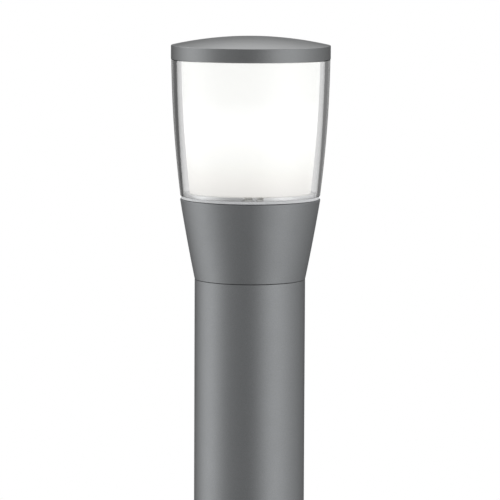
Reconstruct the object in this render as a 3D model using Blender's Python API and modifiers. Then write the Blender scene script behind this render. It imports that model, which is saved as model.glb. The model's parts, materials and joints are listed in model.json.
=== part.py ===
"""Bollard light: aluminium pole with a tapered lamp head, clear outer barrel and opal diffuser.

Z is up and the pole's axis is the Z axis. The origin is the centre of the foot's underside.
Sizes are in millimetres, and the helpers turn them into metres as they make each mesh.
"""

import math

import bmesh
import bpy
from mathutils import Matrix, Vector

MM = 0.001
GAP = 0.3  # clearance between pieces that touch

# Driving dimensions
TOTAL_HEIGHT = 1000.0
POLE_RADIUS = 44.45
POLE_WALL = 3.0
COLLAR_HEIGHT = 64.4
COLLAR_RIM_RADIUS = 56.3
BARREL_HEIGHT = 108.9
BARREL_TOP_RADIUS = 63.6
BARREL_FOOT_RADIUS = 56.05
BARREL_BULGE = 1.55
BARREL_WALL = 4.5
DIFFUSER_INSET = 8.1
DIFFUSER_WALL = 2.0
CAP_RADIUS = 63.9
CAP_BAND = 10.9
DOME_RISE = 7.25
FOOT_RADIUS = 80.0
FOOT_THICKNESS = 8.0

# Levels worked out from the top down
RIM_Z = TOTAL_HEIGHT - DOME_RISE
BAND_Z = RIM_Z - CAP_BAND
BARREL_TOP_Z = BAND_Z - GAP
BARREL_FOOT_Z = BARREL_TOP_Z - BARREL_HEIGHT
GASKET_HEIGHT = 2.4
COLLAR_TOP_Z = BARREL_FOOT_Z - GASKET_HEIGHT - 2 * GAP
FLOOR_Z = COLLAR_TOP_Z - COLLAR_HEIGHT
FLOOR_THICKNESS = 6.0
FLOOR_TOP_Z = FLOOR_Z + FLOOR_THICKNESS
POLE_FOOT_Z = FOOT_THICKNESS + GAP
POLE_TOP_Z = FLOOR_Z - GAP

# Screw ports inside the pole, which the foot and the collar are screwed to
PORT_PITCH_RADIUS = 37.2
PORT_ANGLES = (30, 150, 270)
PORT_RADIUS = 5.0
PORT_BORE = 2.6
SPIGOT_RADIUS = 31.9
SPIGOT_WALL = 3.0

# Collar: mouth, lamp tray and its lugs
MOUTH_RADIUS = 50.5
MOUTH_DEPTH = 15.8
TRAY_THICKNESS = 1.2
TRAY_SEAT_Z = COLLAR_TOP_Z - MOUTH_DEPTH
TRAY_LUG_ANGLES = (90, 210, 330)
TRAY_SCREW_RADIUS = 43.5
LOCK_SCREW_Z = COLLAR_TOP_Z - 7.0
BRIDGE_SCREW_X = 26.5
EARTH_PLACE = (-20.0, 25.0)

# Cap fixing
CAP_SCREW_ANGLES = (30, 150, 270)
CAP_SCREW_RADIUS = 49.0
CAP_UNDERSIDE_Z = RIM_Z - 4.0
LIP_TOP_Z = CAP_UNDERSIDE_Z - 2.0
LIP_Z = LIP_TOP_Z - 2.2
REFLECTOR_TOP_Z = LIP_Z - GAP
REFLECTOR_Z = REFLECTOR_TOP_Z - 1.6

# Lamp and lampholder
HOLDER_RIM_Z = 870.0
HOLDER_RADIUS = 20.0
HOLDER_FOOT_Z = 820.3
LAMP_TIP_Z = 838.0
LAMP_LENGTH = 110.0
LAMP_RADIUS = 30.0
LAMP_SEAT_DROP = 18.5  # from the globe's centre down to the housing's rim
THREAD_RADIUS = 13.0
HOLDER_SCREW_X = 10.0

# Foot
ANCHOR_PITCH_RADIUS = 65.0
ANCHOR_HOLE = 4.5
ANCHOR_ANGLES = (45, 135, 225, 315)
ENTRY_HOLE = 11.5

# Terminal bracket and what it carries
STRIP_Y = 15.0
STRIP_THICKNESS = 2.0
STRIP_HALF_WIDTH = 14.0
STRIP_TOP_Z = 165.0
BRACKET_SCREW_X = 8.0
BRACKET_SCREW_Y = 20.8
CLAMP_Z = 63.0
CLAMP_SCREW_X = 9.5
BLOCK_LOW_Z = 110.0
BLOCK_HIGH_Z = 150.0
BLOCK_MIDDLE_Z = (BLOCK_LOW_Z + BLOCK_HIGH_Z) / 2
CORE_SPACING = 10.0

# Supply lead and gland
LEAD_RADIUS = 3.0
CORE_RADIUS = 1.0
GLAND_Y = 20.0
LEAD_ROUTE = (
    (0, 3, 172),
    (0, 3, 200),
    (4, 8, 300),
    (-3, 13, 430),
    (3, 17, 560),
    (0, 20, 690),
    (0, GLAND_Y, 760),
    (0, GLAND_Y, 800),
    (0, GLAND_Y, 817),
)

# Sides of the round pieces, by size
SEGMENTS = 36
ROUND_SEGMENTS = 22
SMALL_SEGMENTS = 12
SCREW_SEGMENTS = 8
HOLE_SEGMENTS = 8

MATERIALS = {
    "graphite_paint": ((0.105, 0.110, 0.115), 0.42, 0.35),
    "cast_graphite": ((0.105, 0.110, 0.115), 0.48, 0.35),
    "clear_acrylic": ((0.92, 0.95, 0.95), 0.03, 0.0),
    "opal_acrylic": ((0.93, 0.93, 0.90), 0.45, 0.0),
    "bare_aluminium": ((0.62, 0.63, 0.64), 0.35, 1.0),
    "white_reflector": ((0.88, 0.88, 0.86), 0.35, 0.0),
    "silicone": ((0.70, 0.71, 0.70), 0.55, 0.0),
    "black_rubber": ((0.03, 0.03, 0.03), 0.80, 0.0),
    "stainless": ((0.55, 0.55, 0.56), 0.25, 1.0),
    "zinc_steel": ((0.60, 0.61, 0.62), 0.38, 1.0),
    "porcelain": ((0.86, 0.85, 0.81), 0.25, 0.0),
    "brass": ((0.72, 0.55, 0.25), 0.25, 1.0),
    "nickel": ((0.66, 0.64, 0.60), 0.22, 1.0),
    "black_glass": ((0.02, 0.02, 0.03), 0.12, 0.0),
    "white_plastic": ((0.85, 0.85, 0.83), 0.40, 0.0),
    "grey_plastic": ((0.42, 0.43, 0.44), 0.50, 0.0),
    "opal_envelope": ((0.95, 0.94, 0.90), 0.40, 0.0),
    "led_board": ((0.90, 0.90, 0.86), 0.45, 0.0),
    "lead_sheath": ((0.08, 0.08, 0.08), 0.60, 0.0),
    "core_brown": ((0.25, 0.10, 0.05), 0.50, 0.0),
    "core_blue": ((0.05, 0.15, 0.50), 0.50, 0.0),
    "core_earth": ((0.35, 0.60, 0.10), 0.50, 0.0),
}


# ---------------------------------------------------------------- helpers


def clear_scene():
    for obj in list(bpy.data.objects):
        bpy.data.objects.remove(obj, do_unlink=True)


def new_collection(name):
    collection = bpy.data.collections.new(name)
    bpy.context.scene.collection.children.link(collection)
    return collection


def new_material(name, colour, roughness, metallic):
    material = bpy.data.materials.new(name)
    material.use_nodes = True
    shader = material.node_tree.nodes["Principled BSDF"]
    shader.inputs["Base Color"].default_value = (*colour, 1.0)
    shader.inputs["Roughness"].default_value = roughness
    shader.inputs["Metallic"].default_value = metallic
    material.diffuse_color = (*colour, 1.0)
    return material


def add_object(name, data, surface=None):
    """A new object among the parts, or among the cutters when it has no surface."""
    obj = bpy.data.objects.new(name, data)
    if surface is None:
        CUTTERS.objects.link(obj)
        obj.hide_render = True
        obj.display_type = "WIRE"
        return obj
    PARTS.objects.link(obj)
    if not data.materials:
        data.materials.append(SURFACES[surface])
    return obj


def mesh_from(name, build):
    """A mesh filled in by a function that works on a bmesh, in millimetres."""
    shape = bmesh.new()
    build(shape)
    bmesh.ops.scale(shape, vec=(MM, MM, MM), verts=shape.verts)
    bmesh.ops.recalc_face_normals(shape, faces=shape.faces)
    mesh = bpy.data.meshes.new(name)
    shape.to_mesh(mesh)
    shape.free()
    return mesh


def smooth(mesh):
    mesh.shade_smooth()
    mesh.set_sharp_from_angle(angle=math.radians(35))


def polar(radius, degrees, z=0.0):
    angle = math.radians(degrees)
    return radius * math.cos(angle), radius * math.sin(angle), z


def evaluated_mesh(obj, name):
    """The mesh of an object with its modifiers worked out. The object itself is removed."""
    bpy.context.view_layer.update()
    mesh = bpy.data.meshes.new_from_object(obj.evaluated_get(bpy.context.evaluated_depsgraph_get()))
    bpy.data.objects.remove(obj, do_unlink=True)
    mesh.name = name
    return mesh


def turned(name, profile, surface, segments=SEGMENTS):
    """A piece turned about Z. Its profile of (radius, z) runs down the outer side, top to bottom.

    A profile that ends on the axis makes a solid. Any other closes up its inner side into a ring.
    """
    solid = profile[-1][0] == 0
    if solid and profile[0][0] > 0:
        profile = [(0, profile[0][1]), *profile]
    points = [(radius * MM, 0.0, z * MM) for radius, z in profile]
    count = len(points)
    edges = [(i, (i + 1) % count) for i in range(count - 1 if solid else count)]
    outline = bpy.data.meshes.new(name + "_outline")
    outline.from_pydata(points, edges, [])
    blank = add_object(name + "_blank", outline)
    turn = blank.modifiers.new("Turn", "SCREW")
    turn.axis = "Z"
    turn.steps = segments
    turn.render_steps = segments
    turn.use_merge_vertices = True
    turn.merge_threshold = 0.00001
    mesh = evaluated_mesh(blank, name)
    smooth(mesh)
    return add_object(name, mesh, surface)


def round_pins(name, places, radius, low, high, segments=SMALL_SEGMENTS, surface=None):
    """Upright cylinders between two levels, one at each (x, y).

    They are turned a little, so that no corner falls on a seam of the turned piece they cut.
    """

    def build(shape):
        for x, y in places:
            bmesh.ops.create_cone(
                shape, cap_ends=True, segments=segments, radius1=radius, radius2=radius, depth=high - low,
                matrix=Matrix.Translation((x, y, (low + high) / 2)) @ Matrix.Rotation(0.13, 4, "Z"),
            )

    return add_object(name, mesh_from(name, build), surface)


def radial_pins(name, angles, radius, inner, outer, z, segments=SMALL_SEGMENTS):
    """Cylinders that point away from the Z axis at each angle, for cutting radial holes."""

    def build(shape):
        for degrees in angles:
            middle = Vector(polar((inner + outer) / 2, degrees, z))
            turn = Matrix.Rotation(math.radians(degrees), 4, "Z") @ Matrix.Rotation(math.pi / 2, 4, "Y")
            bmesh.ops.create_cone(
                shape, cap_ends=True, segments=segments, radius1=radius, radius2=radius,
                depth=outer - inner, matrix=Matrix.Translation(middle) @ turn,
            )

    return add_object(name, mesh_from(name, build))


def across_pins(name, places, radius, near, far):
    """Cylinders along Y between two depths, one at each (x, z)."""

    def build(shape):
        for x, z in places:
            bmesh.ops.create_cone(
                shape, cap_ends=True, segments=SMALL_SEGMENTS, radius1=radius, radius2=radius,
                depth=far - near,
                matrix=Matrix.Translation((x, (near + far) / 2, z)) @ Matrix.Rotation(math.pi / 2, 4, "X"),
            )

    return add_object(name, mesh_from(name, build))


def hexagon(name, across_flats, low, high, x=0.0, y=0.0, surface=None):
    return round_pins(name, [(x, y)], across_flats / math.sqrt(3), low, high, 6, surface)


def boxes(name, spans, surface=None):
    """Boxes given as (low x, y, z, high x, y, z)."""

    def build(shape):
        for span in spans:
            low = Vector(span[:3])
            high = Vector(span[3:])
            place = Matrix.Translation((low + high) / 2) @ Matrix.Diagonal((*(high - low), 1.0))
            bmesh.ops.create_cube(shape, size=1.0, matrix=place)

    return add_object(name, mesh_from(name, build), surface)


def radial_boxes(name, angles, inner, outer, width, low, high):
    """Boxes that lie along a radius at each angle, to join to a wall or to cut a slot."""

    def build(shape):
        for degrees in angles:
            turn = Matrix.Rotation(math.radians(degrees), 4, "Z")
            middle = Matrix.Translation(((inner + outer) / 2, 0, (low + high) / 2))
            size = Matrix.Diagonal((outer - inner, width, high - low, 1.0))
            bmesh.ops.create_cube(shape, size=1.0, matrix=turn @ middle @ size)

    return add_object(name, mesh_from(name, build))


def change(obj, other, operation="DIFFERENCE"):
    modifier = obj.modifiers.new(f"{operation.title()} {other.name}", "BOOLEAN")
    modifier.operation = operation
    modifier.solver = "EXACT"
    modifier.object = other
    return obj


def extruded(name, outline, depth, surface):
    """A plate whose outline of (x, z) is extruded along Y, centred on Y = 0."""
    curve = bpy.data.curves.new(name, "CURVE")
    curve.dimensions = "2D"
    curve.fill_mode = "BOTH"
    curve.extrude = depth / 2 * MM
    spline = curve.splines.new("POLY")
    spline.points.add(len(outline) - 1)
    spline.use_cyclic_u = True
    for point, (x, z) in zip(spline.points, outline):
        point.co = (x * MM, z * MM, 0.0, 1.0)
    return curve_as_mesh(name, curve, surface, Matrix.Rotation(math.pi / 2, 4, "X"))


def curve_as_mesh(name, curve, surface, turn):
    """The curve's mesh with its caps welded on, so that it can be cut."""
    guide = bpy.data.objects.new(name + "_guide", curve)
    CUTTERS.objects.link(guide)
    mesh = evaluated_mesh(guide, name)
    shape = bmesh.new()
    shape.from_mesh(mesh)
    bmesh.ops.remove_doubles(shape, verts=shape.verts, dist=0.00001)
    bmesh.ops.transform(shape, matrix=turn, verts=shape.verts)
    bmesh.ops.recalc_face_normals(shape, faces=shape.faces)
    shape.to_mesh(mesh)
    shape.free()
    mesh.materials.clear()
    return add_object(name, mesh, surface)


def smooth_route(points, spacing):
    """Points at about equal spacing along a Catmull-Rom curve through the given points."""
    knots = [Vector(point) for point in points]
    knots = [2 * knots[0] - knots[1], *knots, 2 * knots[-1] - knots[-2]]
    route = []
    for before, start, end, after in zip(knots, knots[1:], knots[2:], knots[3:]):
        count = max(1, round((end - start).length / spacing))
        for step in range(count):
            t = step / count
            route.append(
                0.5 * (2 * start + (end - before) * t + (2 * before - 5 * start + 4 * end - after) * t * t
                       + (3 * start - before - 3 * end + after) * t * t * t)
            )
    route.append(knots[-2])
    return route


def wire(name, points, radius, spacing, surface):
    """A round wire along a smooth route, with flat ends."""
    curve = bpy.data.curves.new(name, "CURVE")
    curve.dimensions = "3D"
    curve.bevel_depth = radius * MM
    curve.bevel_resolution = 2
    curve.use_fill_caps = True
    spline = curve.splines.new("POLY")
    route = smooth_route(points, spacing)
    spline.points.add(len(route) - 1)
    for point, place in zip(spline.points, route):
        point.co = (*(place * MM), 1.0)
    return add_object(name, curve, surface)


# ---------------------------------------------------------------- fasteners


def screw_mesh(name, head_radius, head_height, shaft_radius, length, socket, countersunk=False):
    """A socket screw that points down, with the widest part of its head's underside at z = 0."""
    if countersunk:
        top = 0.0
        head = [(head_radius, 0.0), (shaft_radius, -head_height)]
    else:
        top = head_height
        head = [(head_radius - 0.5, top), (head_radius, top - 0.8), (head_radius, 0.0), (shaft_radius, 0.0)]
    profile = [(0, top), *head, (shaft_radius, -length), (0, -length)]
    template = turned(name + "_blank", profile, "stainless", SCREW_SEGMENTS)
    recess = round_pins(name + "_socket", [(0, 0)], socket, top - head_height * 0.6, top + 1.0, 6)
    mesh = evaluated_mesh(change(template, recess), name)
    bpy.data.objects.remove(recess, do_unlink=True)
    smooth(mesh)
    return mesh


def place_screw(name, mesh, place, surface, pointing=(0, 0, -1)):
    """A copy of a screw with its head's underside at a place, pointing along a direction."""
    obj = add_object(name, mesh, surface)
    turn = Vector((0, 0, -1)).rotation_difference(Vector(pointing)).to_matrix().to_4x4()
    obj.matrix_world = Matrix.Translation(Vector(place) * MM) @ turn
    return obj


def grub_screw(name, degrees, inner, outer, z):
    """A headless screw lying along a radius, with its hexagon socket facing outwards."""
    length = outer - inner
    profile = [(0, length / 2), (1.6, length / 2), (2.0, length / 2 - 0.4), (2.0, 0.6 - length / 2),
               (1.4, -length / 2), (0, -length / 2)]
    obj = turned(name, profile, "stainless", SMALL_SEGMENTS)
    recess = round_pins(name + "_socket", [(0, 0)], 1.15, length / 2 - 1.8, length / 2 + 1.0, 6)
    change(obj, recess)
    turn = Matrix.Rotation(math.radians(degrees), 4, "Z") @ Matrix.Rotation(math.pi / 2, 4, "Y")
    place = Matrix.Translation(Vector(polar((inner + outer) / 2, degrees, z)) * MM) @ turn
    obj.matrix_world = place
    recess.matrix_world = place
    return obj


# ---------------------------------------------------------------- outlines


def bulged(z, low, high, bulge):
    """Radius at level z of a wall that bows outwards between two (radius, z) ends."""
    share = (z - low[1]) / (high[1] - low[1])
    share = min(max(share, 0.0), 1.0)
    return low[0] + (high[0] - low[0]) * share + 4 * bulge * share * (1 - share)


def barrel_radius(z):
    return bulged(z, (BARREL_FOOT_RADIUS, BARREL_FOOT_Z), (BARREL_TOP_RADIUS, BARREL_TOP_Z), BARREL_BULGE)


def collar_radius(z):
    return bulged(z, (POLE_RADIUS, FLOOR_Z), (COLLAR_RIM_RADIUS, COLLAR_TOP_Z), 0.35)


def levels(high, low, count):
    """Evenly spaced levels from high down to low, both ends included."""
    return [high + (low - high) * i / (count - 1) for i in range(count)]


def dome_z(radius, top=TOTAL_HEIGHT):
    return top - DOME_RISE * (radius / CAP_RADIUS) ** 2


# ---------------------------------------------------------------- foot and pole


def build_foot():
    neck = POLE_RADIUS + 0.45
    profile = [
        (neck + 3.0, 16.0), (neck + 3.6, 15.4), (neck + 4.6, FOOT_THICKNESS + 1.5),
        (FOOT_RADIUS - 2.0, FOOT_THICKNESS), (FOOT_RADIUS, FOOT_THICKNESS - 2.0), (FOOT_RADIUS, 0.0),
        (ENTRY_HOLE, 0.0), (ENTRY_HOLE, FOOT_THICKNESS), (SPIGOT_RADIUS - SPIGOT_WALL, FOOT_THICKNESS),
        (SPIGOT_RADIUS - SPIGOT_WALL, 18.0), (SPIGOT_RADIUS, 18.0), (SPIGOT_RADIUS, FOOT_THICKNESS),
        (neck, FOOT_THICKNESS), (neck, 16.0),
    ]
    foot = turned("base_flange", profile, "cast_graphite")
    anchors = [polar(ANCHOR_PITCH_RADIUS, a)[:2] for a in ANCHOR_ANGLES]
    change(foot, round_pins("anchor_holes", anchors, ANCHOR_HOLE, -5, 20))
    ports = [polar(PORT_PITCH_RADIUS, a)[:2] for a in PORT_ANGLES]
    change(foot, round_pins("foot_screw_holes", ports, PORT_BORE, -5, 20))
    change(foot, countersinks(ports))
    holes = [(x, BRACKET_SCREW_Y) for x in (-BRACKET_SCREW_X, BRACKET_SCREW_X)]
    change(foot, round_pins("bracket_screw_holes", holes, 2.3, 2.0, 20))
    turned(
        "entry_grommet",
        [(12.5, 11.0), (14.3, 9.8), (14.3, FOOT_THICKNESS + GAP), (ENTRY_HOLE - GAP, FOOT_THICKNESS + GAP),
         (ENTRY_HOLE - GAP, 1.0), (6.8, 1.0), (6.8, 11.0)],
        "black_rubber", ROUND_SEGMENTS,
    )
    mesh = screw_mesh("pole_screw", 4.8, 2.8, 2.3, 30.0, 1.8, countersunk=True)
    for number, degrees in enumerate(PORT_ANGLES, 1):
        place = polar(PORT_PITCH_RADIUS, degrees, 0.4)
        place_screw(f"base_screw_{number}", mesh, place, "stainless", (0, 0, 1))


def countersinks(places):
    def build(shape):
        for x, y in places:
            bmesh.ops.create_cone(
                shape, cap_ends=True, segments=SMALL_SEGMENTS, radius1=6.2, radius2=2.2, depth=4.5,
                matrix=Matrix.Translation((x, y, 1.55)),
            )

    return add_object("foot_countersinks", mesh_from("foot_countersinks", build))


def build_pole():
    inner = POLE_RADIUS - POLE_WALL
    outside = [(POLE_RADIUS, POLE_TOP_Z), (POLE_RADIUS, POLE_FOOT_Z)]
    pole = turned("pole", [*outside, (inner, POLE_FOOT_Z), (inner, POLE_TOP_Z)], "graphite_paint")
    places = [polar(PORT_PITCH_RADIUS, a)[:2] for a in PORT_ANGLES]
    bosses = round_pins("port_bosses", places, PORT_RADIUS, POLE_FOOT_Z, POLE_TOP_Z, HOLE_SEGMENTS)
    change(pole, bosses, "UNION")
    change(pole, round_pins("port_bores", places, PORT_BORE, 0, TOTAL_HEIGHT, HOLE_SEGMENTS))
    slot_end = PORT_PITCH_RADIUS - 1.0
    change(pole, radial_boxes("port_slots", PORT_ANGLES, slot_end - 8, slot_end, 2.4, 0, TOTAL_HEIGHT))


# ---------------------------------------------------------------- terminal bracket


def build_terminal_bracket():
    low = FOOT_THICKNESS + GAP
    back = STRIP_Y + STRIP_THICKNESS
    upright = [(-STRIP_HALF_WIDTH, STRIP_Y, low, STRIP_HALF_WIDTH, back, STRIP_TOP_Z)]
    strip = boxes("terminal_bracket", upright, "zinc_steel")
    toe = [(-STRIP_HALF_WIDTH, STRIP_Y, low, STRIP_HALF_WIDTH, 24.5, low + STRIP_THICKNESS)]
    change(strip, boxes("bracket_toe", toe), "UNION")
    toe_holes = [(x, BRACKET_SCREW_Y) for x in (-BRACKET_SCREW_X, BRACKET_SCREW_X)]
    change(strip, round_pins("bracket_toe_holes", toe_holes, 2.3, 0, 20))
    holes = [(-CLAMP_SCREW_X, CLAMP_Z), (CLAMP_SCREW_X, CLAMP_Z), (0, BLOCK_MIDDLE_Z)]
    change(strip, across_pins("bracket_strip_holes", holes, 2.3, 10, 20))
    mesh = screw_mesh("small_screw", 3.4, 2.4, 2.0, 7.5, 1.5)
    seat = low + STRIP_THICKNESS + GAP
    for number, x in enumerate((-BRACKET_SCREW_X, BRACKET_SCREW_X), 1):
        place_screw(f"bracket_screw_{number}", mesh, (x, BRACKET_SCREW_Y, seat), "zinc_steel")
    place_screw("terminal_screw", mesh, (0, back + GAP, BLOCK_MIDDLE_Z), "zinc_steel", (0, -1, 0))


def build_terminal_block():
    back = STRIP_Y - GAP
    block = boxes("terminal_block", [(-17, -8, BLOCK_LOW_Z, 17, back, BLOCK_HIGH_Z)], "white_plastic")
    columns = (-CORE_SPACING, 0, CORE_SPACING)
    entries = [(x, 3) for x in columns]
    for name, low in (("wire_entries_high", BLOCK_HIGH_Z - 10), ("wire_entries_low", BLOCK_LOW_Z - 5)):
        change(block, round_pins(name, entries, 2.2, low, low + 15, HOLE_SEGMENTS))
    wells = [(x, z) for x in columns for z in (BLOCK_LOW_Z + 14, BLOCK_HIGH_Z - 14)]
    change(block, across_pins("screw_wells", wells, 2.4, -12, -4))
    change(block, across_pins("block_fixing_hole", [(0, BLOCK_MIDDLE_Z)], 2.3, 8.5, 20))


def build_cable_clamp():
    back = STRIP_Y - GAP
    clamp = boxes("cable_clamp", [(-13.5, 2.7, CLAMP_Z - 5, 13.5, back, CLAMP_Z + 5)], "grey_plastic")
    channel = round_pins("clamp_channel", [(0, 10.7)], 6.0, CLAMP_Z - 10, CLAMP_Z + 10, ROUND_SEGMENTS)
    change(clamp, channel)
    holes = [(-CLAMP_SCREW_X, CLAMP_Z), (CLAMP_SCREW_X, CLAMP_Z)]
    change(clamp, across_pins("clamp_holes", holes, 2.3, -5, 20))
    mesh = screw_mesh("clamp_screw", 3.4, 2.4, 2.0, 17.0, 1.5)
    for number, x in enumerate((-CLAMP_SCREW_X, CLAMP_SCREW_X), 1):
        place_screw(f"clamp_screw_{number}", mesh, (x, 2.7 - GAP, CLAMP_Z), "zinc_steel", (0, 1, 0))


def build_supply_lead():
    wire("supply_lead", LEAD_ROUTE, LEAD_RADIUS, 18, "lead_sheath")
    start = LEAD_ROUTE[0][2] - GAP
    for number, side in enumerate((-1, 0, 1), 1):
        surface = ("core_brown", "core_earth", "core_blue")[number - 1]
        route = [(side * 1.9, 3, start), (side * 2.6, 3, start - 5),
                 (side * CORE_SPACING, 3, BLOCK_HIGH_Z + 6), (side * CORE_SPACING, 3, BLOCK_HIGH_Z - 8)]
        wire(f"terminal_core_{number}", route, CORE_RADIUS, 5, surface)


# ---------------------------------------------------------------- collar and what is in it


def build_collar():
    inner_foot = collar_radius(FLOOR_TOP_Z) - 3.6
    profile = [(collar_radius(z), z) for z in levels(COLLAR_TOP_Z, FLOOR_Z + 1.5, 5)]
    profile += [
        (POLE_RADIUS - 0.3, FLOOR_Z), (SPIGOT_RADIUS, FLOOR_Z), (SPIGOT_RADIUS, FLOOR_Z - 18),
        (SPIGOT_RADIUS - SPIGOT_WALL, FLOOR_Z - 18), (SPIGOT_RADIUS - SPIGOT_WALL, FLOOR_Z),
    ]
    collar = turned("head_collar", [*profile, (0, FLOOR_Z)], "cast_graphite")
    cavity = turned(
        "collar_cavity",
        [(0, COLLAR_TOP_Z + 5), (MOUTH_RADIUS, COLLAR_TOP_Z + 5), (MOUTH_RADIUS, TRAY_SEAT_Z),
         (collar_radius(TRAY_SEAT_Z) - 4.9, TRAY_SEAT_Z), (inner_foot, FLOOR_TOP_Z), (0, FLOOR_TOP_Z)],
        None,
    )
    change(collar, cavity)
    lugs = radial_boxes("tray_lugs", TRAY_LUG_ANGLES, 39.5, 50.6, 8.0, TRAY_SEAT_Z - 15, TRAY_SEAT_Z)
    change(collar, lugs, "UNION")
    lug_holes = [polar(TRAY_SCREW_RADIUS, a)[:2] for a in TRAY_LUG_ANGLES]
    low = TRAY_SEAT_Z - 12
    change(collar, round_pins("tray_lug_holes", lug_holes, 1.9, low, TRAY_SEAT_Z + 5, HOLE_SEGMENTS))
    ports = [polar(PORT_PITCH_RADIUS, a)[:2] for a in PORT_ANGLES]
    small = [(-BRIDGE_SCREW_X, 0), (BRIDGE_SCREW_X, 0), EARTH_PLACE]
    below = FLOOR_Z - 5
    above = FLOOR_TOP_Z + 3
    change(collar, round_pins("collar_port_holes", ports, PORT_BORE, below, above, HOLE_SEGMENTS))
    change(collar, round_pins("gland_hole", [(0, GLAND_Y)], 6.3, below, above))
    change(collar, round_pins("floor_screw_holes", small, 2.0, below, above, HOLE_SEGMENTS))
    change(collar, radial_pins("lock_screw_holes", (0, 180), 2.3, 45, 65, LOCK_SCREW_Z))
    mesh = screw_mesh("head_screw", 4.4, 3.0, 2.3, 30.0, 1.9)
    for number, degrees in enumerate(PORT_ANGLES, 1):
        place = polar(PORT_PITCH_RADIUS, degrees, FLOOR_TOP_Z + GAP)
        place_screw(f"head_screw_{number}", mesh, place, "stainless")
    for name, degrees in (("lock_screw_right", 0), ("lock_screw_left", 180)):
        grub_screw(name, degrees, MOUTH_RADIUS, collar_radius(LOCK_SCREW_Z) - 0.5, LOCK_SCREW_Z)


def build_lamp_tray():
    tray = turned(
        "lamp_tray",
        [(MOUTH_RADIUS - GAP, TRAY_SEAT_Z + GAP + TRAY_THICKNESS), (MOUTH_RADIUS - GAP, TRAY_SEAT_Z + GAP),
         (HOLDER_RADIUS + 0.6, TRAY_SEAT_Z + GAP), (HOLDER_RADIUS + 0.6, TRAY_SEAT_Z + GAP + TRAY_THICKNESS)],
        "white_reflector",
    )
    holes = [polar(TRAY_SCREW_RADIUS, a)[:2] for a in TRAY_LUG_ANGLES]
    change(tray, round_pins("tray_holes", holes, 1.9, TRAY_SEAT_Z - 2, TRAY_SEAT_Z + 5, HOLE_SEGMENTS))
    mesh = screw_mesh("tray_screw", 2.9, 2.0, 1.5, 10.0, 1.2)
    seat = TRAY_SEAT_Z + 2 * GAP + TRAY_THICKNESS
    for number, degrees in enumerate(TRAY_LUG_ANGLES, 1):
        place_screw(f"tray_screw_{number}", mesh, polar(TRAY_SCREW_RADIUS, degrees, seat), "stainless")


def build_gland():
    """A small cable gland: body through the floor, locknut above and dome nut below."""
    body = hexagon("gland_body", 14, FLOOR_Z - 4.3, FLOOR_Z - GAP, 0, GLAND_Y, "grey_plastic")
    axis = [(0, GLAND_Y)]
    bore = LEAD_RADIUS + GAP
    change(body, round_pins("gland_thread", axis, 6.0, FLOOR_Z - 11, FLOOR_TOP_Z + 4.4), "UNION")
    change(body, round_pins("gland_bore", axis, bore, FLOOR_Z - 30, FLOOR_TOP_Z + 20, HOLE_SEGMENTS))
    locknut = hexagon("gland_locknut", 14, FLOOR_TOP_Z + GAP, FLOOR_TOP_Z + 3.8, 0, GLAND_Y, "grey_plastic")
    change(locknut, round_pins("locknut_bore", axis, 6.3, FLOOR_TOP_Z - 3, FLOOR_TOP_Z + 8))
    dome_top = FLOOR_Z - 4.3 - GAP
    dome = hexagon("gland_dome_nut", 14, dome_top - 13, dome_top, 0, GLAND_Y, "grey_plastic")
    change(dome, round_pins("dome_nut_bore", axis, 6.3, dome_top - 8, dome_top + 5))
    change(dome, round_pins("dome_nut_outlet", axis, bore, dome_top - 20, dome_top, HOLE_SEGMENTS))


def build_lampholder():
    low = FLOOR_TOP_Z + GAP
    high = HOLDER_FOOT_Z - GAP
    sheet = 1.5
    outline = [(-31, low), (-18.5, low), (-18.5, high - sheet), (18.5, high - sheet), (18.5, low), (31, low),
               (31, low + sheet), (20, low + sheet), (20, high), (-20, high), (-20, low + sheet),
               (-31, low + sheet)]
    bridge = extruded("lampholder_bracket", outline, 20.0, "zinc_steel")
    feet = [(-BRIDGE_SCREW_X, 0), (BRIDGE_SCREW_X, 0)]
    change(bridge, round_pins("bridge_feet_holes", feet, 2.0, low - 3, low + 5, HOLE_SEGMENTS))
    fixings = [(-HOLDER_SCREW_X, 0), (HOLDER_SCREW_X, 0)]
    change(bridge, round_pins("bridge_top_holes", fixings, 2.0, high - 4, high + 3, HOLE_SEGMENTS))
    mesh = screw_mesh("bridge_screw", 3.2, 2.2, 1.7, 6.0, 1.4)
    for number, (x, y) in enumerate(feet, 1):
        place_screw(f"holder_bracket_screw_{number}", mesh, (x, y, low + sheet + GAP), "zinc_steel")
    for number, (x, y) in enumerate(fixings, 1):
        place_screw(f"lampholder_screw_{number}", mesh, (x, y, high - sheet - GAP), "zinc_steel", (0, 0, 1))
    holder = turned(
        "lampholder_body",
        [(HOLDER_RADIUS - 1.5, HOLDER_RIM_Z), (HOLDER_RADIUS, HOLDER_RIM_Z - 1.5),
         (HOLDER_RADIUS, HOLDER_FOOT_Z), (0, HOLDER_FOOT_Z)],
        "porcelain", ROUND_SEGMENTS,
    )
    socket = turned(
        "lampholder_socket",
        [(0, HOLDER_RIM_Z + 5), (14.4, HOLDER_RIM_Z + 5), (14.4, LAMP_TIP_Z + 1.5), (9.0, LAMP_TIP_Z + 1.5),
         (9.0, LAMP_TIP_Z - 4.3), (0, LAMP_TIP_Z - 4.3)],
        None, ROUND_SEGMENTS,
    )
    change(holder, socket)
    low = HOLDER_FOOT_Z - 3
    change(holder, round_pins("holder_fixing_holes", fixings, 2.0, low, low + 11, HOLE_SEGMENTS))
    shell_top = HOLDER_RIM_Z - 2
    shell_foot = LAMP_TIP_Z + 1.8
    turned(
        "lampholder_shell",
        [(14.1, shell_top), (14.1, shell_foot), (13.45, shell_foot), (13.45, shell_top)],
        "brass", ROUND_SEGMENTS,
    )
    turned(
        "lampholder_contact",
        [(0, LAMP_TIP_Z - GAP), (3.0, LAMP_TIP_Z - GAP), (3.0, LAMP_TIP_Z - 2.8), (7.5, LAMP_TIP_Z - 2.8),
         (7.5, LAMP_TIP_Z - 4.0), (0, LAMP_TIP_Z - 4.0)],
        "brass", SMALL_SEGMENTS,
    )


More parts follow.
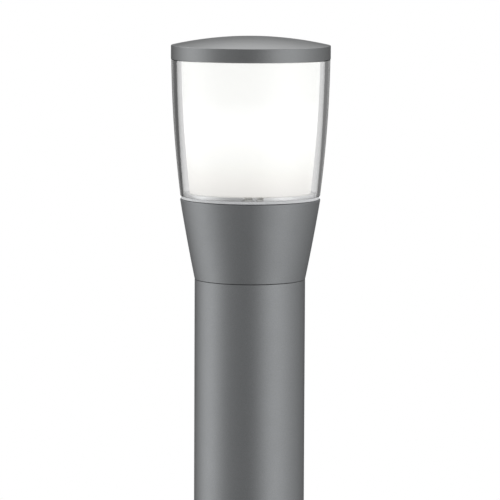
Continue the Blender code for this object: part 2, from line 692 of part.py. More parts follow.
def build_head_wiring():
    """The lead's cores inside the collar, to the lampholder's side and to the earth screw."""
    start = LEAD_ROUTE[-1][2] + GAP
    terminal_z = HOLDER_FOOT_Z + 15
    for name, side, surface in (("live_core", -1, "core_brown"), ("neutral_core", 1, "core_blue")):
        route = [(side * 1.8, GLAND_Y - 0.2, start), (side * 2.8, GLAND_Y + 1.5, start + 5),
                 (side * 4.5, 22.8, start + 11), (side * 7.0, 22.2, terminal_z - 3),
                 (side * 7.0, 21.6, terminal_z - 0.4), (side * 7.0, 19.7, terminal_z)]
        wire(name, route, CORE_RADIUS, 3, surface)
    x, y = EARTH_PLACE
    lug_z = FLOOR_TOP_Z + GAP
    lug = round_pins("earth_lug", [EARTH_PLACE], 4.2, lug_z, lug_z + 1.0, surface="zinc_steel")
    change(lug, boxes("lug_tail", [(x, y - 1.6, lug_z, x + 8.0, y + 1.6, lug_z + 1.0)]), "UNION")
    change(lug, round_pins("lug_hole", [EARTH_PLACE], 2.1, lug_z - 3, lug_z + 5, HOLE_SEGMENTS))
    mesh = screw_mesh("earth_screw_mesh", 3.4, 2.4, 1.7, 6.0, 1.4)
    place_screw("earth_screw", mesh, (x, y, lug_z + 1.0 + GAP), "brass")
    rest_z = lug_z + 1.0 + CORE_RADIUS + GAP
    route = [(0, GLAND_Y + 2.0, start), (0, GLAND_Y + 2.1, start + 3), (-0.8, 26, start + 4.5),
             (-5, 28.7, start + 1), (-9.5, 27.2, rest_z + 2.4), (x + 7.5, y + 0.4, rest_z + 0.2),
             (x + 5.4, y, rest_z)]
    wire("earth_core", route, CORE_RADIUS, 3, "core_earth")


def build_lower_gasket():
    low = COLLAR_TOP_Z + GAP
    high = low + GASKET_HEIGHT
    inner = MOUTH_RADIUS + 0.4
    turned("lower_gasket", [(55.6, high), (55.6, low), (inner, low), (inner, high)], "silicone")


# ---------------------------------------------------------------- lift-off head


def build_neck_ring():
    foot = TRAY_SEAT_Z + 2.0
    flange = BARREL_FOOT_Z + 2.5
    inside = BARREL_FOOT_RADIUS - BARREL_WALL - 0.35
    skirt = MOUTH_RADIUS - GAP
    turned(
        "neck_ring",
        [(inside, flange), (inside, BARREL_FOOT_Z), (skirt, BARREL_FOOT_Z), (skirt, foot),
         (47.6, foot), (47.6, BARREL_FOOT_Z - 1.8), (45.5, BARREL_FOOT_Z), (45.5, flange)],
        "bare_aluminium",
    )


def build_clear_barrel():
    neck = CAP_RADIUS - 2.7
    inner_top = BARREL_TOP_RADIUS - BARREL_WALL
    lip = inner_top - 3.1
    outside = [(barrel_radius(z), z) for z in levels(BARREL_TOP_Z, BARREL_FOOT_Z + 1.0, 6)]
    inside = [(barrel_radius(z) - BARREL_WALL, z) for z in reversed(levels(BARREL_TOP_Z, BARREL_FOOT_Z, 5))]
    profile = [(neck, LIP_TOP_Z), (neck, BARREL_TOP_Z), *outside, (BARREL_FOOT_RADIUS - 0.9, BARREL_FOOT_Z)]
    profile += [*inside, (inner_top, LIP_Z), (lip, LIP_Z), (lip, LIP_TOP_Z)]
    turned("clear_barrel", profile, "clear_acrylic")


def build_diffuser():
    low = BARREL_FOOT_Z + 2.5 + GAP
    high = REFLECTOR_Z - GAP
    outside = [(barrel_radius(z) - DIFFUSER_INSET, z) for z in levels(high, low, 5)]
    inside = [(radius - DIFFUSER_WALL, z) for radius, z in reversed(outside)]
    turned("opal_diffuser", outside + inside, "opal_acrylic")


def build_top_reflector():
    radius = BARREL_TOP_RADIUS - BARREL_WALL - GAP
    disc = turned(
        "top_reflector",
        [(0, REFLECTOR_TOP_Z), (radius, REFLECTOR_TOP_Z), (radius, REFLECTOR_Z), (0, REFLECTOR_Z)],
        "white_reflector",
    )
    holes = [polar(CAP_SCREW_RADIUS, a)[:2] for a in CAP_SCREW_ANGLES]
    low = REFLECTOR_Z - 3
    change(disc, round_pins("reflector_holes", holes, 1.9, low, REFLECTOR_TOP_Z + 3, HOLE_SEGMENTS))
    mesh = screw_mesh("cap_screw", 3.0, 2.1, 1.6, 7.5, 1.2)
    for number, degrees in enumerate(CAP_SCREW_ANGLES, 1):
        place = polar(CAP_SCREW_RADIUS, degrees, REFLECTOR_Z - GAP)
        place_screw(f"cap_screw_{number}", mesh, place, "stainless", (0, 0, 1))


def build_upper_gasket():
    low = LIP_TOP_Z + GAP
    high = CAP_UNDERSIDE_Z - GAP
    turned("upper_gasket", [(61.0, high), (61.0, low), (56.3, low), (56.3, high)], "silicone")


def build_cap():
    edge = 0.6
    dome_radii = (0, 20, 38, 52, CAP_RADIUS - edge)
    skin = 3.0
    outside = [(r, dome_z(r)) for r in dome_radii]
    outside += [(CAP_RADIUS, RIM_Z - edge), (CAP_RADIUS, BAND_Z), (CAP_RADIUS - 2.4, BAND_Z)]
    underside = [(CAP_RADIUS - 2.4, CAP_UNDERSIDE_Z), (55.0, CAP_UNDERSIDE_Z)]
    underside += [(r, dome_z(r) - skin) for r in (52.0, 36.0, 18.0, 0.0)]
    cap = turned("cap", outside + underside, "cast_graphite")
    places = [polar(CAP_SCREW_RADIUS, a)[:2] for a in CAP_SCREW_ANGLES]
    boss_foot = REFLECTOR_TOP_Z + GAP
    change(cap, round_pins("cap_bosses", places, 3.8, boss_foot, RIM_Z + 0.8, 16), "UNION")
    change(cap, round_pins("cap_boss_holes", places, 1.9, boss_foot - 3, boss_foot + 6.5, HOLE_SEGMENTS))


# ---------------------------------------------------------------- lamp


def build_lamp():
    """An opal LED lamp with a screw base, tip down in the lampholder."""
    cap_top = LAMP_TIP_Z + 28.5
    cap_foot = LAMP_TIP_Z + 6.5
    bulb_z = LAMP_TIP_Z + LAMP_LENGTH - LAMP_RADIUS
    seat_z = bulb_z - LAMP_SEAT_DROP
    tip_top = LAMP_TIP_Z + 2.0
    turned(
        "lamp_tip",
        [(0, tip_top), (4.2, tip_top), (4.8, tip_top - 1.2), (3.4, LAMP_TIP_Z), (0, LAMP_TIP_Z)],
        "nickel", SMALL_SEGMENTS,
    )
    turned(
        "lamp_insulator",
        [(0, cap_foot - GAP), (11.2, cap_foot - GAP), (10.6, cap_foot - 1.8), (5.4, tip_top + GAP),
         (0, tip_top + GAP)],
        "black_glass", ROUND_SEGMENTS,
    )
    turned(
        "lamp_screw_base",
        [(THREAD_RADIUS, cap_top), (THREAD_RADIUS, cap_foot + 2.0), (11.4, cap_foot), (9.5, cap_foot),
         (12.3, cap_foot + 2.4), (12.3, cap_top)],
        "nickel", ROUND_SEGMENTS,
    )
    outer = [(24.0, seat_z), (22.5, seat_z - 6), (17.5, HOLDER_RIM_Z + 5.5),
             (THREAD_RADIUS, HOLDER_RIM_Z + 1), (THREAD_RADIUS, cap_top + GAP), (12.0, cap_top + GAP),
             (12.0, cap_foot + 8)]
    inner = [(10.5, cap_foot + 8), (10.5, HOLDER_RIM_Z + 2), (15.8, HOLDER_RIM_Z + 6.5), (20.6, seat_z - 5),
             (21.9, seat_z)]
    turned("lamp_housing", outer + inner, "white_plastic", ROUND_SEGMENTS)
    board_radius = math.sqrt(LAMP_RADIUS**2 - LAMP_SEAT_DROP**2) - 2.2
    board = [(seat_z + 1.9, (0, board_radius)), (seat_z + GAP, (board_radius, 0))]
    turned("lamp_led_board", [(r, z) for z, radii in board for r in radii], "led_board", ROUND_SEGMENTS)
    start = math.asin(-(LAMP_SEAT_DROP - GAP) / LAMP_RADIUS)
    angles = [math.pi / 2 + (start - math.pi / 2) * i / 8 for i in range(9)]
    globe = [(max(0.0, LAMP_RADIUS * math.cos(a)), bulb_z + LAMP_RADIUS * math.sin(a)) for a in angles]
    globe[0] = (0, bulb_z + LAMP_RADIUS)
    thin = (LAMP_RADIUS - 1.2) / LAMP_RADIUS
    hollow = [(r * thin, bulb_z + (z - bulb_z) * thin) for r, z in reversed(globe)]
    hollow[0] = (globe[-1][0] - 1.3, globe[-1][1])
    turned("lamp_envelope", globe + hollow, "opal_envelope", ROUND_SEGMENTS)


# ---------------------------------------------------------------- assembly

clear_scene()
PARTS = new_collection("bollard_light")
CUTTERS = new_collection("cutters")
SURFACES = {name: new_material(name, *values) for name, values in MATERIALS.items()}

for build_step in (
    build_foot, build_pole, build_terminal_bracket, build_terminal_block, build_cable_clamp,
    build_supply_lead, build_collar, build_lamp_tray, build_gland, build_lampholder, build_head_wiring, build_lower_gasket,
    build_neck_ring, build_clear_barrel, build_diffuser, build_top_reflector, build_upper_gasket, build_cap,
    build_lamp,
):
    build_step()
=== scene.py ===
"""Bollard light, shown from a little above: powder-coated pole and head, clear barrel, lit opal diffuser.

Lengths are in millimetres, and the helpers turn them into metres as they make each mesh.
"""

import json
import math

import bmesh
import bpy
from mathutils import Matrix, Vector


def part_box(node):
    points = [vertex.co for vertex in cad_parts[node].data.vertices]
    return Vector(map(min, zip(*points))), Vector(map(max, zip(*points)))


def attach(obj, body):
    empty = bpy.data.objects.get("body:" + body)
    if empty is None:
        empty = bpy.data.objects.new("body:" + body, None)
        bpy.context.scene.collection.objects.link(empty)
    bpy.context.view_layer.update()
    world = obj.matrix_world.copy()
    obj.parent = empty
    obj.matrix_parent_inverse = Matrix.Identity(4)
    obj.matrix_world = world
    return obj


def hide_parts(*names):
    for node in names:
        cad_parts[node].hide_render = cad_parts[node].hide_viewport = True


MM = 0.001
GAP = 0.3

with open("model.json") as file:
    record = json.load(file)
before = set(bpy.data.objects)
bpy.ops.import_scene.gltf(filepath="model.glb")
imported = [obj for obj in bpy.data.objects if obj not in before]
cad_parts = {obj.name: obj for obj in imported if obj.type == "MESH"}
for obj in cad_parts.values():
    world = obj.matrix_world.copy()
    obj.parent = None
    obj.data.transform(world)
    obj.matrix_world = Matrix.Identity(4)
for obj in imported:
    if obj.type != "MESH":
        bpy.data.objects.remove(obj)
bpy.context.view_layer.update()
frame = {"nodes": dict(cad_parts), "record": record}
nodes = frame["nodes"]
bodies = frame["record"]["behaviour"]["bodies"]
body_of_node = {node: body for body, members in bodies.items() for node in members}
slot_of_node = {part["node"]: part["material_slot"] for part in frame["record"]["subparts"]}


def span(node):
    """Lowest and highest corner of a node, in millimetres."""
    low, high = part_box(node)
    return Vector(low) / MM, Vector(high) / MM


def middle(node):
    low, high = span(node)
    return (low + high) / 2


# ---------------------------------------------------------------- sizes read from the frame

TOP_Z = span("cap")[1].z
CAP_RADIUS = span("cap")[1].x
POLE_RADIUS = span("pole")[1].x
POLE_TOP_Z = span("pole")[1].z
POLE_FOOT_Z = span("pole")[0].z
BARREL_FOOT_Z = span("clear_barrel")[0].z
LIP_TOP_Z = span("clear_barrel")[1].z
COLLAR_TOP_Z = span("head_collar")[1].z
COLLAR_RIM_RADIUS = span("head_collar")[1].x
FLOOR_Z = POLE_TOP_Z + GAP
FLOOR_TOP_Z = span("earth_lug")[0].z - GAP
FOOT_RADIUS = span("base_flange")[1].x
REFLECTOR_TOP_Z = span("top_reflector")[1].z
TRAY_Z = span("lamp_tray")[0].z
LAMP_TIP_Z = span("lamp_tip")[0].z
LAMP_TOP_Z = span("lamp_envelope")[1].z
HOLDER_RIM_Z = span("lampholder_body")[1].z

# Sizes that no box gives
DOME_RISE = 7.25
CAP_BAND = 10.9
RIM_Z = TOP_Z - DOME_RISE
BAND_Z = RIM_Z - CAP_BAND
BARREL_TOP_Z = BAND_Z - GAP
BARREL_TOP_RADIUS = 63.6
BARREL_FOOT_RADIUS = 56.05
BARREL_BULGE = 1.55
# The clear wall's thickness at the inner lip, at the foot and at the top
BARREL_WALL = 4.5
BARREL_WALL_FOOT = 2.5
BARREL_WALL_TOP = 4.2
RING_RADIUS = BARREL_FOOT_RADIUS - BARREL_WALL_FOOT - 0.35
COLLAR_BULGE = 0.35
DIFFUSER_INSET = 8.1
DIFFUSER_WALL = 2.0
PORT_PITCH_RADIUS = 37.2
PORT_ANGLES = (30, 150, 270)
MOUTH_RADIUS = 50.5
CAP_SCREW_RADIUS = 49.0
TRAY_SCREW_RADIUS = 43.5
TRAY_LUG_ANGLES = (90, 210, 330)
RECESSES = ((6.0, (28.2, 148.2, 268.2)), (4.5, (38.1, 158.1, 278.1)))  # width, then angles
RECESS_FLOOR_RADIUS = 47.0
RECESS_STEP = 0.4
SPIGOT_RADIUS = 31.9
SPIGOT_WALL = 3.0
FLANGE_THICKNESS = 8.0
PORT_BORE = 2.6
LAMP_PITCH = 3.62
GLOBE_RADIUS = 30.0
GLOBE_CUT = 18.5  # from the globe's centre down to its open foot
HOUSING_RADIUS = 22.5

# Screws by name: head radius and height, shaft radius, length and half the hexagon's width, then direction
DOWN = (0, 0, -1)
UP = (0, 0, 1)
SCREWS = (
    ("base_screw", (4.8, -2.8, 2.3, 30.0, 1.8), UP),
    ("head_screw", (4.4, 3.0, 2.3, 30.0, 1.9), DOWN),
    ("bracket_screw", (3.4, 2.4, 2.0, 7.5, 1.5), DOWN),
    ("terminal_screw", (3.4, 2.4, 2.0, 7.5, 1.5), (0, -1, 0)),
    ("clamp_screw", (3.4, 2.4, 2.0, 17.0, 1.5), (0, 1, 0)),
    ("tray_screw", (2.9, 2.0, 1.5, 10.0, 1.2), DOWN),
    ("holder_bracket_screw", (3.2, 2.2, 1.7, 6.0, 1.4), DOWN),
    ("lampholder_screw", (3.2, 2.2, 1.7, 6.0, 1.4), UP),
    ("earth_screw", (3.4, 2.4, 1.7, 6.0, 1.4), DOWN),
    ("cap_screw", (3.0, 2.1, 1.6, 7.5, 1.2), UP),
    ("lock_screw_right", (0.0, 0.0, 2.0, 4.0, 1.15), (-1, 0, 0)),
    ("lock_screw_left", (0.0, 0.0, 2.0, 4.0, 1.15), (1, 0, 0)),
)

# Camera and light
CAMERA_DISTANCE = 2.958
CAMERA_PITCH = 6.1
CAMERA_AIM_Z = 0.8282
CAMERA_LENS = 265.0
CAMERA_ROLL = 0.25

FLOOR_RADIUS = 3.0
# Soft boxes that stand round the object: azimuth and width in degrees, then level
SOFT_BOXES = ((-92.0, 38.0, 1.60), (-24.0, 28.0, 0.33), (49.0, 36.0, 1.26), (97.0, 44.0, 0.62))
# The ends of each soft change, as parts of a direction: its height, or how far back it points
BOX_FOOT = (-1.0, -0.42)
BOX_TOP = (0.95, 0.5)
OVERHEAD = 0.08
OVERHEAD_BACK = 1.58
OVERHEAD_SPAN = (0.22, 0.60)
OVERHEAD_DEPTH = (-0.3, 0.5)
AMBIENT = 0.052
# What is seen through both clear walls, and what light that turns round inside one wall shows
BACKDROP = 0.77
BACKDROP_SLOPE = 0.25
LIMB_LEVEL = 0.13
LIMB_SLOPE = 0.12
LIMB_BACKDROP = 0.45
LIMB_EDGE = (0.93, 0.99)
MIRROR_DEPTH = (0.45, 0.1)
ONE_WALL = 3.5  # light that crosses more surfaces than this has been through the wall twice

# Finish
PAINT_ROUGHNESS = 0.35
CAST_ROUGHNESS = 0.40
CAP_ROUGHNESS = 0.32
ROUGHNESS_SPREAD = 0.02
# Painted shade: the darker grey laid into the neck ring's recesses
RECESS_PAINTED_SHADE = (0.66, 0.66, 0.64)
# The diffuser's painted glow, standing in for the lamp's light through it and darker towards the foot: share
# of its height, then colour
PAINTED_GLOW = (
    (0.0, (0.71, 0.695, 0.665)),
    (0.05, (0.795, 0.782, 0.755)),
    (0.12, (0.855, 0.840, 0.810)),
    (0.26, (0.955, 0.955, 0.925)),
    (0.40, (1.015, 1.015, 0.995)),
    (0.52, (1.065, 1.065, 1.060)),
    (0.73, (0.962, 0.967, 0.948)),
    (1.0, (0.950, 0.956, 0.935)),
)
COLLAR_EDGE = 0.7
BARREL_FOOT_EDGE = 0.5
CAP_EDGE = 0.45

SEGMENTS = 160
ROUND_SEGMENTS = 72
FILLET_STEPS = 6


# ---------------------------------------------------------------- materials


class Surface:
    """A node material that is built up one texture at a time."""

    def __init__(self, name, **values):
        self.material = bpy.data.materials.new(name)
        self.material.use_nodes = True
        self.tree = self.material.node_tree
        self.shader = self.tree.nodes["Principled BSDF"]
        self.place = self.tree.nodes.new("ShaderNodeTexCoord").outputs["Object"]
        for socket, value in values.items():
            self.shader.inputs[socket.replace("_", " ")].default_value = value

    def node(self, kind, **values):
        made = self.tree.nodes.new(kind)
        for name, value in values.items():
            setattr(made, name, value)
        return made

    def link(self, source, target):
        self.tree.links.new(source, target)

    def stretched(self, scale):
        """The object's coordinates scaled differently along each axis."""
        mapping = self.node("ShaderNodeMapping")
        mapping.inputs["Scale"].default_value = scale
        self.link(self.place, mapping.inputs["Vector"])
        return mapping.outputs["Vector"]

    def noise(self, scale, detail=2.0, place=None):
        texture = self.node("ShaderNodeTexNoise")
        texture.inputs["Scale"].default_value = scale
        texture.inputs["Detail"].default_value = detail
        self.link(place or self.place, texture.inputs["Vector"])
        return texture.outputs["Fac"]

    def spread(self, source, low, high, start=0.3, end=0.7):
        """The source's range from start to end, mapped to low and high."""
        ranged = self.node("ShaderNodeMapRange")
        for socket, value in zip(("From Min", "From Max", "To Min", "To Max"), (start, end, low, high)):
            ranged.inputs[socket].default_value = value
        self.link(source, ranged.inputs["Value"])
        return ranged.outputs["Result"]

    def tint(self, source, first, second, socket="Base Color"):
        """Runs the colour from first to second as the source goes from 0.3 to 0.7."""
        mix = self.node("ShaderNodeMix", data_type="RGBA")
        self.link(self.spread(source, 0.0, 1.0), mix.inputs["Factor"])
        mix.inputs["A"].default_value = (*first, 1.0)
        mix.inputs["B"].default_value = (*second, 1.0)
        self.link(mix.outputs["Result"], self.shader.inputs[socket])

    def roughness(self, source, low, high):
        self.link(self.spread(source, low, high), self.shader.inputs["Roughness"])

    def product(self, first, second):
        made = self.node("ShaderNodeMath", operation="MULTIPLY")
        self.link(first, made.inputs[0])
        self.link(second, made.inputs[1])
        return made.outputs["Value"]

    def bump(self, source, depth_mm, strength):
        bump = self.node("ShaderNodeBump")
        bump.inputs["Strength"].default_value = strength
        bump.inputs["Distance"].default_value = depth_mm * MM
        self.link(source, bump.inputs["Height"])
        self.link(bump.outputs["Normal"], self.shader.inputs["Normal"])


def powder_coat(name, rough, first=(0.190, 0.197, 0.202), second=(0.244, 0.251, 0.258)):
    """Fine metallic flake under a satin coat."""
    surface = Surface(name, Metallic=0.8, Specular_IOR_Level=0.5)
    surface.tint(surface.noise(2400, 3), first, second)
    surface.roughness(surface.noise(60, 3), rough - ROUGHNESS_SPREAD, rough + ROUGHNESS_SPREAD)
    surface.bump(surface.noise(1100, 3), 0.03, 0.4)
    return surface.material


def clear_acrylic():
    surface = Surface("clear_acrylic", Base_Color=(1.0, 1.0, 1.0, 1.0), Transmission_Weight=1.0, IOR=1.49)
    surface.roughness(surface.noise(90, 2), 0.0, 0.012)
    surface.bump(surface.noise(35, 1), 0.01, 0.1)
    return surface.material


def opal_acrylic():
    """Painted glow: emission stands in for the light of the lamp inside, brightest level with the lamp's
    globe and darker and a little warmer at the foot.
    """
    surface = Surface("opal_acrylic", Base_Color=(0.10, 0.10, 0.098, 1.0), Specular_IOR_Level=0.2)
    height = surface.node("ShaderNodeSeparateXYZ")
    surface.link(surface.place, height.inputs["Vector"])
    ramp = surface.node("ShaderNodeValToRGB")
    low = BARREL_FOOT_Z * MM
    high = BARREL_TOP_Z * MM
    surface.link(surface.spread(height.outputs["Z"], 0.0, 1.0, low, high), ramp.inputs["Fac"])
    stops = ramp.color_ramp.elements
    while len(stops) < len(PAINTED_GLOW):
        stops.new(0.5)
    for stop, (position, colour) in zip(stops, PAINTED_GLOW):
        stop.position = position
        stop.color = (*colour, 1.0)
    # Painted glow: the emission stands in for the lamp's light through the opal
    surface.link(ramp.outputs["Color"], surface.shader.inputs["Emission Color"])
    surface.shader.inputs["Emission Strength"].default_value = 1.0
    surface.roughness(surface.noise(500, 2), 0.38, 0.5)
    surface.bump(surface.noise(1500, 2), 0.01, 0.3)
    return surface.material


def metal(name, first, second, rough=(0.2, 0.35), scale=(400, 400, 400), depth=0.004):
    surface = Surface(name, Metallic=1.0)
    grain = surface.noise(1.0, 3, surface.stretched(scale))
    surface.tint(grain, first, second)
    surface.roughness(grain, *rough)
    surface.bump(grain, depth, 0.5)
    return surface.material


def machined_ring():
    """Turned aluminium with fine tool marks, and painted shade: a darker grey in its recesses."""
    surface = Surface("bare_aluminium", Metallic=1.0)
    grain = surface.noise(1.0, 3, surface.stretched((90, 90, 2600)))
    parts = surface.node("ShaderNodeSeparateXYZ")
    surface.link(surface.place, parts.inputs["Vector"])
    radius = surface.node("ShaderNodeVectorMath", operation="LENGTH")
    surface.link(surface.stretched((1, 1, 0)), radius.inputs["Vector"])
    outer = (RING_RADIUS - 0.1) * MM
    recess = surface.spread(radius.outputs["Value"], 0.0, 1.0, outer, outer - 0.2 * MM)
    foot = BARREL_FOOT_Z + RECESS_STEP + 0.1
    top = span("neck_ring")[1].z - 0.1
    for start, end in ((foot, foot + 0.1), (top, top - 0.1)):
        recess = surface.product(recess, surface.spread(parts.outputs["Z"], 0.0, 1.0, start * MM, end * MM))
    surface.tint(grain, (0.82, 0.825, 0.83), (0.88, 0.885, 0.89))
    bright = surface.shader.inputs["Base Color"].links[0].from_socket
    mix = surface.node("ShaderNodeMix", data_type="RGBA")
    surface.link(recess, mix.inputs["Factor"])
    surface.link(bright, mix.inputs["A"])
    # Painted shade: the recesses take the darker grey
    mix.inputs["B"].default_value = (*RECESS_PAINTED_SHADE, 1.0)
    surface.link(mix.outputs["Result"], surface.shader.inputs["Base Color"])
    surface.roughness(grain, 0.42, 0.52)
    surface.bump(grain, 0.004, 0.5)
    return surface.material


def plain(name, first, second, rough=(0.3, 0.45), scale=300, depth=0.01, **values):
    """Plastic, rubber, enamel or porcelain with a fine moulded surface."""
    surface = Surface(name, **values)
    surface.tint(surface.noise(260, 3), first, second)
    surface.roughness(surface.noise(scale, 2), *rough)
    surface.bump(surface.noise(scale * 2, 3), depth, 0.4)
    return surface.material


def striped_core():
    """Green insulation with a yellow stripe that winds along it."""
    surface = Surface("core_earth")
    wave = surface.node("ShaderNodeTexWave", wave_type="BANDS", bands_direction="DIAGONAL")
    wave.inputs["Scale"].default_value = 110.0
    surface.link(surface.place, wave.inputs["Vector"])
    surface.tint(wave.outputs["Fac"], (0.06, 0.30, 0.05), (0.75, 0.62, 0.04))
    surface.roughness(surface.noise(500), 0.4, 0.55)
    return surface.material


MATERIALS = {
    "cast_graphite": powder_coat("cast_graphite", CAST_ROUGHNESS),
    "cap_graphite": powder_coat("cap_graphite", CAP_ROUGHNESS, (0.183, 0.189, 0.192), (0.235, 0.241, 0.245)),
    "graphite_paint": powder_coat("graphite_paint", PAINT_ROUGHNESS),
    "clear_acrylic": clear_acrylic(),
    "opal_acrylic": opal_acrylic(),
    "bare_aluminium": machined_ring(),
    "white_reflector": plain("white_reflector", (0.83, 0.83, 0.81), (0.87, 0.87, 0.85), (0.25, 0.35)),
    "silicone": plain("silicone", (0.60, 0.61, 0.62), (0.66, 0.67, 0.68), (0.45, 0.6)),
    "black_rubber": plain("black_rubber", (0.02, 0.02, 0.021), (0.032, 0.032, 0.033), (0.6, 0.8), 700, 0.03),
    "stainless": metal("stainless", (0.56, 0.56, 0.57), (0.68, 0.68, 0.69), (0.18, 0.3), (900, 900, 900)),
    "zinc_steel": metal("zinc_steel", (0.55, 0.57, 0.60), (0.70, 0.71, 0.73), (0.25, 0.45), (500, 500, 500)),
    "porcelain": plain(
        "porcelain", (0.82, 0.81, 0.77), (0.87, 0.86, 0.83), (0.08, 0.2), 120, 0.02, Coat_Weight=0.4
    ),
    "brass": metal("brass", (0.76, 0.56, 0.24), (0.86, 0.66, 0.32), (0.2, 0.35), (600, 600, 600)),
    "nickel": metal("nickel", (0.66, 0.64, 0.60), (0.76, 0.74, 0.70), (0.15, 0.28), (300, 300, 900)),
    "black_glass": plain("black_glass", (0.01, 0.01, 0.014), (0.022, 0.022, 0.028), (0.05, 0.15), 150, 0.01),
    "white_plastic": plain("white_plastic", (0.78, 0.78, 0.76), (0.83, 0.83, 0.81), (0.35, 0.5), 600),
    "grey_plastic": plain("grey_plastic", (0.30, 0.31, 0.32), (0.36, 0.37, 0.38), (0.4, 0.55), 700, 0.02),
    "opal_envelope": plain(
        "opal_envelope", (0.76, 0.75, 0.72), (0.80, 0.79, 0.76), (0.3, 0.4), 400, 0.005,
        Emission_Color=(1.0, 0.97, 0.91, 1.0), Emission_Strength=0.12,
    ),
    "led_board": plain("led_board", (0.84, 0.84, 0.80), (0.89, 0.89, 0.85), (0.3, 0.4), 500, 0.01),
    "lead_sheath": plain("lead_sheath", (0.022, 0.022, 0.023), (0.034, 0.034, 0.036), (0.5, 0.7), 500, 0.02),
    "core_brown": plain("core_brown", (0.13, 0.05, 0.025), (0.17, 0.07, 0.035), (0.35, 0.5), 500),
    "core_blue": plain("core_blue", (0.03, 0.10, 0.36), (0.05, 0.14, 0.44), (0.35, 0.5), 500),
    "core_earth": striped_core(),
}


# ---------------------------------------------------------------- shapes


def piece(name, mesh, node, stands_for=()):
    """A detailed piece in place of a CAD node, on that node's body and with its finish."""
    obj = bpy.data.objects.new(name, mesh)
    bpy.context.scene.collection.objects.link(obj)
    mesh.materials.clear()
    mesh.materials.append(MATERIALS[slot_of_node[node]])
    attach(obj, body_of_node[node])
    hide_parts(node, *stands_for)
    return obj


def mesh_from(name, build, sharp=35):
    shape = bmesh.new()
    build(shape)
    bmesh.ops.scale(shape, vec=(MM, MM, MM), verts=shape.verts)
    bmesh.ops.recalc_face_normals(shape, faces=shape.faces)
    mesh = bpy.data.meshes.new(name)
    shape.to_mesh(mesh)
    shape.free()
    mesh.shade_smooth()
    mesh.set_sharp_from_angle(angle=math.radians(sharp))
    return mesh


def filleted(corners, closed=False):
    """Replaces each corner given as (r, z, fillet) with a short curve."""
    points = [Vector(corner[:2]) for corner in corners]
    result = []
    for i, corner in enumerate(corners):
        fillet = corner[2] if len(corner) > 2 else 0
        if not fillet or (not closed and i in (0, len(corners) - 1)):
            result.append(tuple(points[i]))
            continue
        start = points[i] + (points[i - 1] - points[i]).normalized() * fillet
        end = points[i] + (points[(i + 1) % len(points)] - points[i]).normalized() * fillet
        for step in range(FILLET_STEPS + 1):
            t = step / FILLET_STEPS
            result.append(tuple(start * (1 - t) ** 2 + points[i] * 2 * t * (1 - t) + end * t * t))
    return result


def revolve(shape, profile, segments, wobble=None):
    """Adds a turned shape to a bmesh. A profile with an end on the axis makes a solid, any other a ring.

    wobble(radius, z, angle) gives the radius at each angle, for threads and ribs.
    """
    rings = []
    for radius, z in profile:
        if radius < 1e-6:
            rings.append([shape.verts.new((0, 0, z))])
            continue
        ring = []
        for k in range(segments):
            angle = 2 * math.pi * k / segments
            r = wobble(radius, z, angle) if wobble else radius
            ring.append(shape.verts.new((r * math.cos(angle), r * math.sin(angle), z)))
        rings.append(ring)
    pairs = list(zip(rings, rings[1:]))
    if len(rings[0]) > 1 and len(rings[-1]) > 1:
        pairs.append((rings[-1], rings[0]))
    for upper, lower in pairs:
        for k in range(segments):
            corners = [upper[k % len(upper)], upper[(k + 1) % len(upper)]]
            corners += [lower[(k + 1) % len(lower)], lower[k % len(lower)]]
            kept = [v for n, v in enumerate(corners) if v not in corners[:n]]
            if len(kept) > 2:
                shape.faces.new(kept)


def turned(name, corners, node, segments=SEGMENTS, wobble=None, sharp=35, stands_for=()):
    ring = corners[0][0] > 0 and corners[-1][0] > 0
    profile = filleted(corners, closed=ring)
    mesh = mesh_from(name, lambda shape: revolve(shape, profile, segments, wobble), sharp)
    return piece(name, mesh, node, stands_for)


def steady_normals(obj):
    """Keeps flat faces flat next to small rounded edges."""
    normals = obj.modifiers.new("Normals", "WEIGHTED_NORMAL")
    normals.keep_sharp = True
    normals.weight = 50
    return obj


def polar(radius, degrees, z=0.0):
    angle = math.radians(degrees)
    return radius * math.cos(angle), radius * math.sin(angle), z


def cutter(name, build):
    """A helper that shapes a piece and isn't shown."""
    obj = bpy.data.objects.new(name, mesh_from(name, build))
    bpy.context.scene.collection.objects.link(obj)
    obj.hide_render = True
    obj.hide_viewport = True
    return obj


def pins(name, places, radius, low, high, top_radius=None, segments=32):
    """Upright round pins at each (x, y), turned a little so that no corner falls on a seam."""

    def build(shape):
        for x, y in places:
            bmesh.ops.create_cone(
                shape, cap_ends=True, segments=segments, radius1=radius, depth=high - low,
                radius2=radius if top_radius is None else top_radius,
                matrix=Matrix.Translation((x, y, (low + high) / 2)) @ Matrix.Rotation(0.13, 4, "Z"),
            )

    return cutter(name, build)


def radial_bars(name, angles, inner, outer, width, low, high):
    def build(shape):
        for degrees in angles:
            turn = Matrix.Rotation(math.radians(degrees), 4, "Z")
            place = Matrix.Translation(((inner + outer) / 2, 0, (low + high) / 2))
            size = Matrix.Diagonal((outer - inner, width, high - low, 1.0))
            bmesh.ops.create_cube(shape, size=1.0, matrix=turn @ place @ size)

    return cutter(name, build)


def radial_pins(name, angles, radius, inner, outer, z):
    def build(shape):
        for degrees in angles:
            centre = Vector(polar((inner + outer) / 2, degrees, z))
            turn = Matrix.Rotation(math.radians(degrees), 4, "Z") @ Matrix.Rotation(math.pi / 2, 4, "Y")
            bmesh.ops.create_cone(
                shape, cap_ends=True, segments=32, radius1=radius, radius2=radius, depth=outer - inner,
                matrix=Matrix.Translation(centre) @ turn,
            )

    return cutter(name, build)


def change(obj, other, operation="DIFFERENCE"):
    modifier = obj.modifiers.new(f"{operation.title()} {other.name}", "BOOLEAN")
    modifier.operation = operation
    modifier.solver = "EXACT"
    modifier.object = other
    return obj


def bulged(z, low, high, bulge):
    share = min(max((z - low[1]) / (high[1] - low[1]), 0.0), 1.0)
    return low[0] + (high[0] - low[0]) * share + 4 * bulge * share * (1 - share)


def barrel_radius(z):
    return bulged(z, (BARREL_FOOT_RADIUS, BARREL_FOOT_Z), (BARREL_TOP_RADIUS, BARREL_TOP_Z), BARREL_BULGE)


